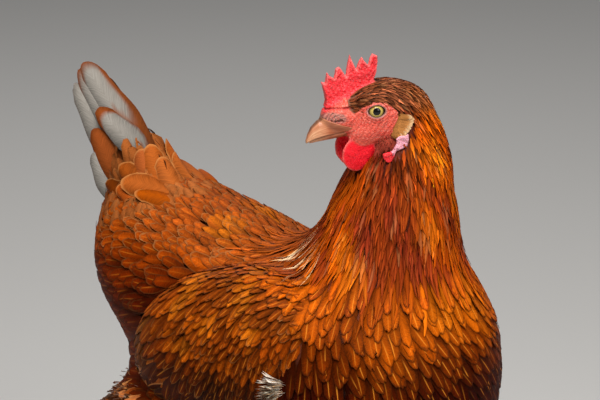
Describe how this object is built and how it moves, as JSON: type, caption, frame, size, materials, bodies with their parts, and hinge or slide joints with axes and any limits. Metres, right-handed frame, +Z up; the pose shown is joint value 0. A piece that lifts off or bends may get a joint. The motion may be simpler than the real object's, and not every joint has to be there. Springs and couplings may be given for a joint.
{
  "type": "laying hen",
  "caption": "Brown laying hen, a life-size still model, standing with the head turned back over the right side and the tail raised.",
  "frame": {"origin": "bottom centre of the bird's bounding box, on the floor under the feet", "axes": "+Z up; the hen's breast faces -Y and her tail +Y, so her right side is -X"},
  "size_m": [0.193, 0.3209, 0.4316],
  "materials": {
    "plumage": "rust-brown contour feathers",
    "tail_plumage": "cream tail feathers with rust-brown edges",
    "comb_skin": "bright red pebbled skin",
    "ear_lobe_skin": "pink and white wrinkled skin",
    "horn": "smooth tan horn",
    "shank_scales": "yellow scaled skin",
    "eye": "wet yellow-brown iris with a black pupil"
  },
  "bodies": {
    "root": {"breast": "plumage", "back": "plumage", "belly": "plumage", "rump": "plumage", "neck_lower": "plumage", "neck_upper": "plumage", "head": "plumage", "eye_left": "eye", "eye_right": "eye", "bill_upper": "horn", "bill_lower": "horn", "comb": "comb_skin", "wattle_left": "comb_skin", "wattle_right": "comb_skin", "ear_lobe_left": "ear_lobe_skin", "ear_lobe_right": "ear_lobe_skin", "wing_shoulder_left": "plumage", "wing_secondaries_left": "plumage", "wing_primaries_left": "plumage", "wing_shoulder_right": "plumage", "wing_secondaries_right": "plumage", "wing_primaries_right": "plumage", "tail_coverts": "plumage", "tail_feathers_left": "tail_plumage", "tail_feathers_right": "tail_plumage", "thigh_left": "plumage", "thigh_right": "plumage", "shank_left": "shank_scales", "shank_right": "shank_scales", "foot_left": "shank_scales", "foot_right": "shank_scales", "toe_inner_left": "shank_scales", "toe_middle_left": "shank_scales", "toe_outer_left": "shank_scales", "toe_hind_left": "shank_scales", "toe_inner_right": "shank_scales", "toe_middle_right": "shank_scales", "toe_outer_right": "shank_scales", "toe_hind_right": "shank_scales", "claw_inner_left": "horn", "claw_middle_left": "horn", "claw_outer_left": "horn", "claw_hind_left": "horn", "claw_inner_right": "horn", "claw_middle_right": "horn", "claw_outer_right": "horn", "claw_hind_right": "horn"}
  },
  "joints": []
}
